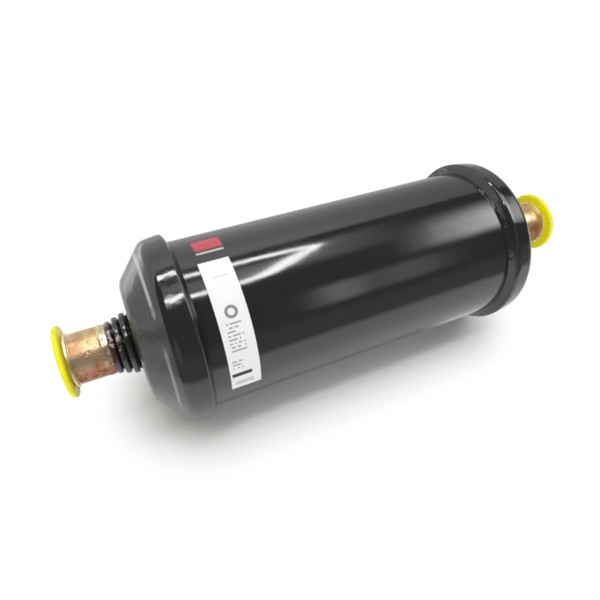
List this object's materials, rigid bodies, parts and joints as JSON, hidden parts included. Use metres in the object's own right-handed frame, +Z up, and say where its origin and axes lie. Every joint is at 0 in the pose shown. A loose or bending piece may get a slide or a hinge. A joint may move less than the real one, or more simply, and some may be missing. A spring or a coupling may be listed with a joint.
{
  "type": "filter drier",
  "caption": "Hermetic refrigerant filter drier: black steel cylinder with domed ends, ribbed necks and copper solder sockets closed by yellow plugs.",
  "frame": {"origin": "middle of the drier on its axis", "axes": "+X along the axis from inlet to outlet, +Z up as it lies on its side, label facing -Y"},
  "size_m": [0.2998, 0.0984, 0.0984],
  "materials": {
    "black_paint": "gloss black paint on steel",
    "copper": "drawn copper, lightly tarnished",
    "braze_alloy": "pale braze alloy",
    "yellow_plastic": "bright yellow polyethylene",
    "paper_label": "white coated paper",
    "filter_felt": "pressed polyester felt",
    "desiccant": "moulded molecular sieve, matt and porous",
    "inner_steel": "bare zinc plated steel"
  },
  "bodies": {
    "housing": {"shell_tube": "black_paint", "inlet_end_cap": "black_paint", "inlet_girth_weld": "black_paint", "inlet_neck": "black_paint", "inlet_neck_weld": "black_paint", "inlet_spigot": "copper", "inlet_braze_ring": "braze_alloy", "outlet_end_cap": "black_paint", "outlet_girth_weld": "black_paint", "outlet_neck": "black_paint", "outlet_neck_weld": "black_paint", "outlet_spigot": "copper", "outlet_braze_ring": "braze_alloy", "perforated_plate": "inner_steel", "filter_mat": "filter_felt", "desiccant_core": "desiccant", "spring_plate": "inner_steel", "core_spring": "inner_steel", "label": "paper_label"},
    "inlet_plug": {"inlet_plug": "yellow_plastic"},
    "outlet_plug": {"outlet_plug": "yellow_plastic"}
  },
  "joints": [
    {"name": "inlet_plug_pull", "type": "slide", "parent": "housing", "child": "inlet_plug", "axis": [-1, 0, 0], "range_m": [0, 0.045]},
    {"name": "outlet_plug_pull", "type": "slide", "parent": "housing", "child": "outlet_plug", "axis": [1, 0, 0], "range_m": [0, 0.045]}
  ]
}
